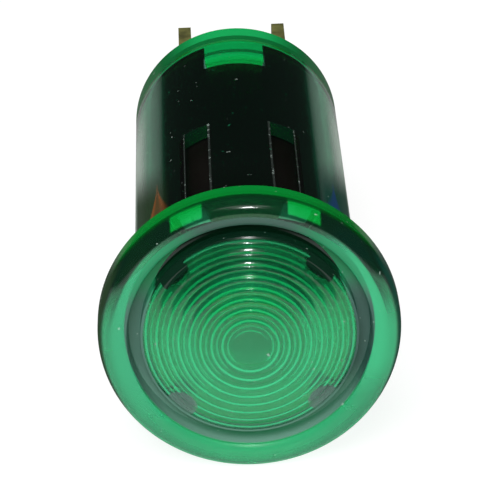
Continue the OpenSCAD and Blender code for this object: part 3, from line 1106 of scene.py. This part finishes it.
@dataclass(frozen=True)
class LensBody(LensSizes):
    """The green moulding: ringed lens, flange, barrel, snap fingers and latch ridges.

    Steps are how finely each curve is cut. Roots and the recess's foot are how far joined and
    cutting solids overlap the moulding. An eased edge is a chamfer with its middle pushed out.
    """

    steps: int = 192
    disc_steps: int = 6
    ring_steps: int = 5
    rim_steps: int = 28
    dome_steps: int = 16
    recess_steps: int = 48
    sector_steps: int = 8
    ease: float = 0.06
    eased: float = 0.3
    seat_ease: float = 0.08
    slot_from: float = 3.95
    beyond: float = 2.0
    slack: float = 0.02
    recess_foot: float = 0.6
    barb_root: float = 0.4
    barb_angle: float = 22.0
    barb_run: float = 0.6
    ridge_root: float = 0.3
    ridge_flat: float = 0.2
    crease: float = 25.0
    finish: Finish = GREEN

    def crown(self, r: float) -> float:
        """Height of the plain crown at a radius."""
        return self.crown_h - self.crown_r + math.sqrt(self.crown_r**2 - r * r)

    def ringed(self, r: float) -> float:
        """Height of the crown with its rings at a radius."""
        phase = (r - self.disc_r) / self.ring_pitch
        if phase <= 0 or phase >= self.ring_count:
            return self.crown(r)
        half = self.ring_w / 2
        radius = (half * half + self.ring_h**2) / (2 * self.ring_h)
        offset = (phase - math.floor(phase) - 0.5) * self.ring_pitch
        if abs(offset) >= half:
            return self.crown(r)
        return self.crown(r) + math.sqrt(radius * radius - offset * offset) - (radius - self.ring_h)

    def front(self) -> list[Point]:
        """The outside of lens and flange, from the axis to the seat, as (radius, depth)."""
        edge = self.disc_r + self.ring_count * self.ring_pitch
        radii = [self.disc_r * i / self.disc_steps for i in range(self.disc_steps)]
        for k in range(self.ring_count):
            middle = self.disc_r + (k + 0.5) * self.ring_pitch
            radii += [middle - self.ring_pitch / 2]
            across = range(-self.ring_steps, self.ring_steps + 1)
            radii += [middle + self.ring_w / 2 * i / self.ring_steps for i in across]
        points = [(r, -self.ringed(r)) for r in radii]
        points.append((edge, -self.crown(edge)))
        points += [(r, -h) for r, h in self._groove()]
        rim_r = self.flange_r - self.round_r
        wall = self.groove_r + self.groove_w + self.groove_draft / 2
        start = 180.0 - math.degrees(math.acos((rim_r - wall) / self.round_r))
        rim = arc((rim_r, self.edge_h), self.round_r, start, 0.0, self.rim_steps)
        points += [(r, -h) for r, h in rim[1:]]
        points += [(self.flange_r, -self.seat_ease), (self.flange_r - self.seat_ease, 0.0)]
        return points

    def _groove(self) -> list[Point]:
        """The groove with its eased edges, from the crown to the rim, as (radius, height)."""
        inner, outer, ease = self.groove_r, self.groove_r + self.groove_w, self.ease
        part = ease * self.eased
        top = self.crown(inner)
        rim_r = self.flange_r - self.round_r
        brink = self.edge_h + math.sqrt(self.round_r**2 - (rim_r - outer) ** 2)
        lip = inner - self.groove_draft / 2
        return [
            (lip - ease, self.crown(lip - ease)),
            (lip - part, top - part),
            (lip, top - ease),
            (inner, self.groove_h + ease),
            (inner + part, self.groove_h + part),
            (inner + ease, self.groove_h),
            (outer - ease, self.groove_h),
            (outer - part, self.groove_h + part),
            (outer, self.groove_h + ease),
            (outer + self.groove_draft / 2, brink - ease),
        ]

    def section(self) -> list[Point]:
        """The whole closed section."""
        points = self.front()
        rear = self.barrel_len
        points += [(self.barrel_r, 0.0), (self.barrel_r, rear / 2), (self.barrel_r, rear - self.chamfer)]
        points += [(self.barrel_r - self.chamfer, rear), (self.bore_r, rear), (self.bore_r, rear / 2)]
        inner = self.crown_r - self.crown_wall
        height = self.crown_h - self.crown_r
        top = math.degrees(math.acos(self.bore_r / inner))
        points += [(r, -h) for r, h in arc((0.0, height), inner, top, 90.0, self.dome_steps)]
        points[-1] = (0.0, points[-1][1])
        return points

    def slots(self) -> list[bpy.types.Object]:
        """The cutters beside both fingers and in front of their free ends."""
        half, near, far = self.finger_w / 2, self.slot_from, self.flange_r + self.beyond
        front, beside = self.tip - self.tip_gap, half + self.slack
        cutters = []
        for name, low, high in (("top", near, far), ("bottom", -far, -near)):
            for side in (-1, 1):
                inner, outer = sorted((side * half, side * (half + self.slot_w)))
                cutters.append(block(name, (inner, self.slot_front, low), (outer, self.slot_rear, high)))
            cutters.append(block(name, (-beside, front, low), (beside, self.tip, high)))
        return cutters

    def recesses(self) -> list[bpy.types.Object]:
        """The cutters for the four recesses that the housing's posts stand in."""
        made = []
        for middle in (45.0, 135.0, 225.0, 315.0):
            corner = math.radians(middle)
            place = (self.bore_r * math.cos(corner), self.bore_r * math.sin(corner))
            made.append(self.recess(place))
        return made

    def recess(self, place: Point) -> bpy.types.Object:
        """A lens-shaped bar: the part of a round recess that lies within the bore.

        Args:
            place: The recess's centre (x, z).

        Returns:
            The cutter.
        """
        build = bmesh.new()
        centre = Vector(place)
        rim = []
        for i in range(self.recess_steps):
            turn = 2 * math.pi * i / self.recess_steps
            point = centre + self.recess_r * Vector((math.cos(turn), math.sin(turn)))
            if point.length > self.bore_r:
                point = point.normalized() * self.bore_r
            rim.append(point)
        low = [build.verts.new((p.x * MM, self.recess_foot * MM, p.y * MM)) for p in rim]
        high = [build.verts.new((p.x * MM, -self.recess_top * MM, p.y * MM)) for p in rim]
        build.faces.new(low)
        build.faces.new(high)
        for i in range(len(rim)):
            j = (i + 1) % len(rim)
            build.faces.new((low[i], low[j], high[j], high[i]))
        bmesh.ops.recalc_face_normals(build, faces=build.faces)
        return link("recess", build)

    def sector(self, section: Sequence[Point], half_angle: float, middle: float) -> bpy.types.Object:
        """A part turn of a section, centred on an angle in degrees."""
        across = [i / self.sector_steps - 1 for i in range(2 * self.sector_steps + 1)]
        turns = [math.radians(middle + half_angle * share) for share in across]
        return lathe("sector", section, turns, False)

    def barbs(self) -> list[bpy.types.Object]:
        """The barbs on both fingers."""
        low, high = self.barrel_r - self.barb_root, self.barrel_r + self.barb_h
        section = [
            (low, self.tip),
            (high - self.ease, self.tip),
            (high, self.tip + self.ease),
            (high, self.tip + self.barb_flat),
            (self.barrel_r, self.tip + self.barb_len),
            (low, self.tip + self.barb_len + self.barb_run),
        ]
        return [self.sector(section, self.barb_angle, middle) for middle in (90.0, 270.0)]

    def ridges(self) -> list[bpy.types.Object]:
        """The latch ridges inside the bore."""
        front = self.ridge_front()
        out, top = self.bore_r + self.ridge_root, self.bore_r - self.ridge_h
        flat_end = front + self.ridge_flat
        section = [(out, front), (top, front), (top, flat_end), (out, front + self.ridge_len)]
        half = math.degrees(math.asin((self.window_w / 2 - self.latch_gap) / self.bore_r))
        return [self.sector(section, half, middle) for middle in (90.0, 270.0)]

    def build(self) -> bpy.types.Object:
        """Makes the moulding and puts it in the CAD node's place.

        Returns:
            The moulding.
        """
        turns = [2 * math.pi * (i + 0.5) / self.steps for i in range(self.steps)]
        body = lathe("lens_moulding", self.section(), turns, True)
        combine(body, self.barbs(), Cut.ADD)
        combine(body, self.slots(), Cut.REMOVE)
        combine(body, self.recesses(), Cut.REMOVE)
        combine(body, self.ridges(), Cut.ADD)
        smooth(body, self.crease)
        body.data.materials.clear()
        body.data.materials.append(self.finish.material())
        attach(body, ROOT)
        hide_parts("lens_body")
        LOG.info("%s has %d faces", body.name, len(body.data.polygons))
        return body


# ---------------------------------------------------------------- what the CAD nodes wear


@dataclass
class Housing:
    """The black sleeve, its base and the white reflector."""

    def build(self) -> None:
        """Dresses the nodes."""
        dress("lamp_housing", BLACK)
        dress("terminal_base", BLACK)
        dress("reflector", WHITE)


@dataclass
class Terminals:
    """The two push-on blades."""

    def build(self) -> None:
        """Dresses the nodes."""
        dress("terminal_left", BRASS)
        dress("terminal_right", BRASS)


@dataclass
class Lamp:
    """The neon lamp and its collar."""

    def build(self) -> None:
        """Dresses the nodes."""
        dress("lamp_envelope", GLASS)
        dress("lamp_collar", IVORY)
        dress("electrode_left", NICKEL)
        dress("electrode_right", NICKEL)


@dataclass
class Wiring:
    """Leads, resistor, sleeves and solder."""

    def build(self) -> None:
        """Dresses the nodes."""
        for node in ("lamp_lead_left", "lamp_lead_right"):
            dress(node, COPPER)
        for node in ("splice_ferrule", "solder_left", "solder_right"):
            dress(node, TIN)
        for node in ("resistor_lead_front", "resistor_lead_rear"):
            dress(node, TIN)
        dress("lead_sleeve", IVORY)
        dress("resistor_body", TAN)
        dress("resistor_sleeve", DARK)


# ---------------------------------------------------------------- floor, lights and camera


@dataclass(frozen=True)
class SoftLamp:
    """A soft lamp that shines at the part's middle. Lengths are in metres, angles in degrees."""

    name: str
    azimuth: float
    elevation: float
    distance: float
    size: float
    power: float
    mirrored: bool = True
    height: float | None = None

    def build(self) -> None:
        """Puts the lamp in the scene."""
        data = bpy.data.lights.new(self.name, "AREA")
        data.shape = "DISK" if self.height is None else "RECTANGLE"
        data.size = self.size
        if self.height is not None:
            data.size_y = self.height
        data.energy = self.power
        lamp = bpy.data.objects.new(self.name, data)
        a, e = math.radians(self.azimuth), math.radians(self.elevation)
        back = Vector((math.sin(a) * math.cos(e), -math.cos(a) * math.cos(e), math.sin(e)))
        lamp.location = back * self.distance
        lamp.rotation_mode = "QUATERNION"
        lamp.rotation_quaternion = (-back).to_track_quat("-Z", "Y")
        lamp.visible_glossy = self.mirrored
        lamp.visible_transmission = self.mirrored
        lamp.visible_camera = False
        bpy.context.scene.collection.objects.link(lamp)


@dataclass(frozen=True)
class PaleFloor(Finish):
    """Plain white paper. What mirrors see of it fades out in front and has a painted shadow behind the part.

    Both fades are depths in metres.
    """

    colour: float = 0.82
    glow: float = 0.86
    trace: float = 0.22
    dark: float = 0.02
    front: Span = (-0.16, -0.06)
    back: Span = (-0.004, 0.006)
    shadow_loss: float = 0.58
    grain: float = 0.03
    grain_cells: float = 900.0

    def build(self, shader: Shader) -> None:
        """Fills the material's tree."""
        path = shader.raw("ShaderNodeLightPath", {}, {})
        seen = Wire(shader, path.outputs["Is Camera Ray"])
        parts = shader.raw("ShaderNodeSeparateXYZ", {}, {0: shader.place()})
        depth = Wire(shader, parts.outputs[1])
        front = depth.rise(*self.front)
        # painted shadow: what mirrors see of the floor dims behind the part
        back = 1.0 - self.shadow_loss * depth.rise(*self.back)
        grain = (1.0 - self.grain) + self.grain * shader.noise(self.grain_cells)
        tone = shader.mix(front * back * grain, (self.dark,) * 3, (self.colour,) * 3)
        paper = shader.principled({"Base Color": tone, "Roughness": 1.0, "Specular IOR Level": 0.0})
        white = shader.add("ShaderNodeEmission", {}, {"Color": (1.0, 1.0, 1.0, 1.0), "Strength": self.glow})
        shade = shader.add("ShaderNodeBsdfDiffuse", {}, {"Color": (*((self.trace,) * 3), 1.0)})
        shown = shader.add("ShaderNodeAddShader", {}, {0: white, 1: shade})
        shader.surface(shader.layered(seen, paper, shown))


@dataclass
class Studio:
    """Floor, lamps, world and camera. Sizes are in millimetres and angles in degrees.

    The camera looks at its aim from a distance, turned by its azimuth, raised by its elevation
    and rolled about its own line of sight.
    """

    floor_size: float = 1600.0
    aim: Triple = (0.0, -17.177, 12.653)
    distance: float = 146.739
    azimuth: float = -0.7023
    elevation: float = 25.7269
    roll: float = -2.3088
    lens: float = 221.4
    sensor: float = 36.0
    room: Rgb = (0.018, 0.0185, 0.019)
    lights: tuple[SoftLamp, ...] = (
        SoftLamp("key", -12.0, 50.0, 0.5, 0.3, 2.65, mirrored=False),
        SoftLamp("left", -80.0, 25.0, 0.5, 0.3, 0.4, mirrored=False),
        SoftLamp("right", 80.0, 25.0, 0.5, 0.3, 0.55, mirrored=False),
        SoftLamp("strip", 0.0, 41.0, 0.5, 0.2, 0.06, height=0.06),
        SoftLamp("spark", 2.0, 32.0, 0.6, 0.045, 0.5),
    )

    def floor(self) -> None:
        """Lays the floor under the flange."""
        build = bmesh.new()
        bmesh.ops.create_grid(build, x_segments=4, y_segments=4, size=self.floor_size * MM / 2)
        for vert in build.verts:
            vert.co.z = -LensSizes.flange_r * MM
        floor = link("floor", build)
        floor.data.materials.append(PaleFloor("pale_floor").material())

    def world(self) -> None:
        """A white background for the camera and a dim room for everything else."""
        world = bpy.data.worlds.new("room")
        bpy.context.scene.world = world
        shader = Shader(world)
        path = shader.raw("ShaderNodeLightPath", {}, {})
        seen = Wire(shader, path.outputs["Is Camera Ray"])
        colour = shader.mix(seen, self.room, (1.0, 1.0, 1.0))
        background = shader.add("ShaderNodeBackground", {}, {"Color": colour, "Strength": 1.0})
        shader.raw("ShaderNodeOutputWorld", {}, {"Surface": background})

    def camera(self) -> None:
        """Places the camera."""
        data = bpy.data.cameras.new("camera")
        data.lens = self.lens
        data.sensor_width = self.sensor
        data.clip_start, data.clip_end = 0.01, 10.0
        camera = bpy.data.objects.new("camera", data)
        turn = Matrix.Identity(4)
        for angle, axis in ((self.azimuth, "Z"), (90.0 - self.elevation, "X"), (self.roll, "Z")):
            turn = turn @ Matrix.Rotation(math.radians(angle), 4, axis)
        back = turn @ Vector((0.0, 0.0, self.distance * MM))
        camera.matrix_world = Matrix.Translation(Vector(self.aim) * MM + back) @ turn
        bpy.context.scene.collection.objects.link(camera)
        bpy.context.scene.camera = camera

    def build(self) -> None:
        """Builds the whole studio."""
        self.floor()
        self.world()
        for lamp in self.lights:
            lamp.build()
        self.camera()
        bpy.context.scene.view_settings.view_transform = "Standard"


def main() -> None:
    """Builds and dresses everything."""
    logging.basicConfig(level=logging.INFO)
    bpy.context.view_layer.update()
    Studio().build()
    LensBody().build()
    for assembly in (Housing(), Terminals(), Lamp(), Wiring()):
        assembly.build()


if __name__ == "__main__":
    main()
